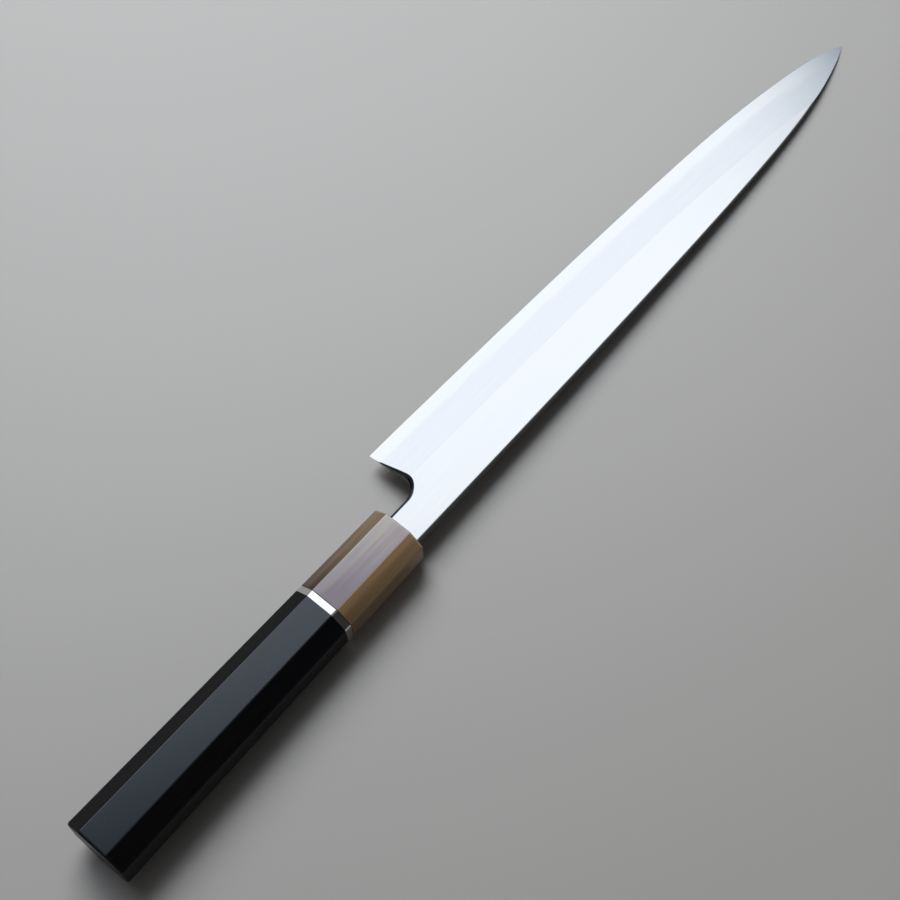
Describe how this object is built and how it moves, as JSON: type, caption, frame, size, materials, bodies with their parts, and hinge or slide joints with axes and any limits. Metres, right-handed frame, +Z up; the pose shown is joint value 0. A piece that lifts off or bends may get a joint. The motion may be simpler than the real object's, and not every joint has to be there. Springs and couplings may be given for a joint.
{
  "type": "kitchen knife",
  "caption": "Long, slender left-handed slicing knife with a laminated single-bevel blade, a hollow-ground back and a tapered octagonal handle of ebony and horn with a metal ring.",
  "frame": {"origin": "bottom centre of the bounding box, on the table that the knife lies on with its bevel side up", "axes": "+X from the butt of the handle to the tip of the blade, +Y towards the cutting edge, +Z up from the table"},
  "size_m": [0.3969, 0.04, 0.0223],
  "materials": {
    "ebony": "oiled satin",
    "nickel_silver": "polished",
    "liner": "satin",
    "horn": "polished, streaked",
    "dowel_wood": "raw",
    "seal": "satin",
    "soft_iron": "fine satin, hazy on the bevel",
    "hard_steel": "polished"
  },
  "bodies": {
    "root": {"ebony_handle": "ebony", "nickel_silver_ring": "nickel_silver", "black_liner": "liner", "horn_ferrule": "horn", "dowel_core": "dowel_wood", "mouth_seal": "seal", "blade_soft_iron": "soft_iron", "blade_hard_steel": "hard_steel"}
  },
  "joints": []
}
